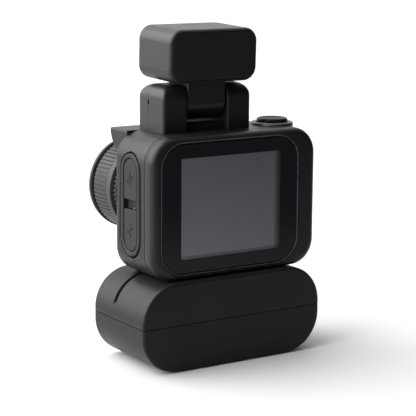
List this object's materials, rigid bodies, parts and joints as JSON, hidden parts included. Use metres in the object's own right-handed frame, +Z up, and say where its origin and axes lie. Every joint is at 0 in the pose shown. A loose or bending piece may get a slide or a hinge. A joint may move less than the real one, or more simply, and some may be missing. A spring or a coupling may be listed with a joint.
{
  "type": "action camera",
  "caption": "Compact action camera with a rear screen, ribbed lens rings and a tilting lamp head, standing on a wide battery base with rounded ends.",
  "frame": {"origin": "centre of the base's underside, on the surface it stands on", "axes": "+Z up, the lens faces -Y, the screen faces +Y, the port covers are on +X"},
  "size_m": [0.076, 0.0468, 0.121],
  "materials": {
    "base_plastic": "fine matte texture",
    "rubber": "matte",
    "brass": "turned",
    "steel": "turned and plated",
    "cell_wrap": "shrink film",
    "inner_plastic": "moulded",
    "circuit_board": "solder mask",
    "body_plastic": "soft satin texture",
    "trim_plastic": "satin",
    "screen_glass": "polished",
    "display": "dark, unlit",
    "lens_metal": "black anodised",
    "ring_metal": "black anodised, ribbed",
    "lens_glass": "coated",
    "sensor_glass": "polished",
    "control_metal": "satin anodised",
    "control_gloss": "glossy black",
    "block_plastic": "satin",
    "head_plastic": "soft satin texture",
    "window_plastic": "frosted",
    "reflector_white": "bright",
    "heat_sink_metal": "raw"
  },
  "bodies": {
    "base": {"base_lower_shell": "base_plastic", "base_upper_shell": "base_plastic", "rubber_feet": "rubber", "tripod_insert": "brass", "base_screws": "steel", "base_battery": "cell_wrap", "battery_tray": "inner_plastic", "base_board": "circuit_board", "base_magnets": "steel", "contact_block": "inner_plastic", "contact_pins": "brass"},
    "camera": {"front_shell": "body_plastic", "rear_shell": "body_plastic", "screen_trim": "trim_plastic", "screen_glass": "screen_glass", "display_panel": "display", "main_board": "circuit_board", "camera_battery": "cell_wrap", "camera_magnets": "steel", "contact_pads": "brass", "speaker": "inner_plastic", "port_frame": "trim_plastic", "usb_socket": "steel", "audio_socket": "inner_plastic", "lens_barrel": "lens_metal", "lens_nut": "steel", "lens_front_ring": "lens_metal", "front_lens": "lens_glass", "inner_baffle": "inner_plastic", "rear_lens": "lens_glass", "image_sensor": "sensor_glass", "sensor_board": "circuit_board", "lens_hood": "body_plastic", "shutter_collar": "control_metal", "shutter_spring": "steel", "shutter_switch": "inner_plastic", "power_switch": "inner_plastic", "hinge_block_front": "block_plastic", "hinge_block_rear": "block_plastic", "block_screws": "steel", "hinge_pin": "steel", "pin_cap": "body_plastic", "friction_washers": "steel"},
    "focus": {"focus_ring": "ring_metal"},
    "aperture": {"rear_ring": "lens_metal"},
    "upper_cover": {"upper_port_cover": "trim_plastic"},
    "lower_cover": {"lower_port_cover": "trim_plastic"},
    "shutter": {"shutter_button": "control_gloss"},
    "power": {"power_button": "body_plastic"},
    "head": {"head_shell": "head_plastic", "head_rear_cover": "head_plastic", "head_arm": "block_plastic", "lamp_window": "window_plastic", "reflector": "reflector_white", "led_board": "circuit_board", "heat_sink": "heat_sink_metal", "head_screws": "steel"}
  },
  "joints": [
    {"name": "camera_lift", "type": "slide", "parent": "base", "child": "camera", "axis": [0, 0, 1], "range_m": [0, 0.012]},
    {"name": "head_tilt", "type": "hinge", "parent": "camera", "child": "head", "pos_m": [0.0046, -0.0012, 0.094], "axis": [1, 0, 0], "range_deg": [-30, 15]},
    {"name": "focus_turn", "type": "hinge", "parent": "camera", "child": "focus", "pos_m": [0.0168, 0.0026, 0.0615], "axis": [0, 1, 0], "range_deg": [-60, 60]},
    {"name": "aperture_turn", "type": "hinge", "parent": "camera", "child": "aperture", "pos_m": [0.0168, 0.0026, 0.0615], "axis": [0, 1, 0], "range_deg": [-30, 30]},
    {"name": "shutter_press", "type": "slide", "parent": "camera", "child": "shutter", "axis": [0, 0, -1], "range_m": [0, 0.001], "stiffness_N_per_m": 600, "springref_m": -0.001, "deforming": ["shutter_spring"]},
    {"name": "power_press", "type": "slide", "parent": "camera", "child": "power", "axis": [0.766, 0, -0.6428], "range_m": [0, 0.0005], "stiffness_N_per_m": 600, "springref_m": -0.001},
    {"name": "upper_cover_open", "type": "hinge", "parent": "camera", "child": "upper_cover", "pos_m": [0.0327, 0.0008, 0.0706], "axis": [0, -1, 0], "range_deg": [0, 95]},
    {"name": "lower_cover_open", "type": "hinge", "parent": "camera", "child": "lower_cover", "pos_m": [0.0327, 0.0008, 0.0465], "axis": [0, 1, 0], "range_deg": [0, 95]}
  ]
}
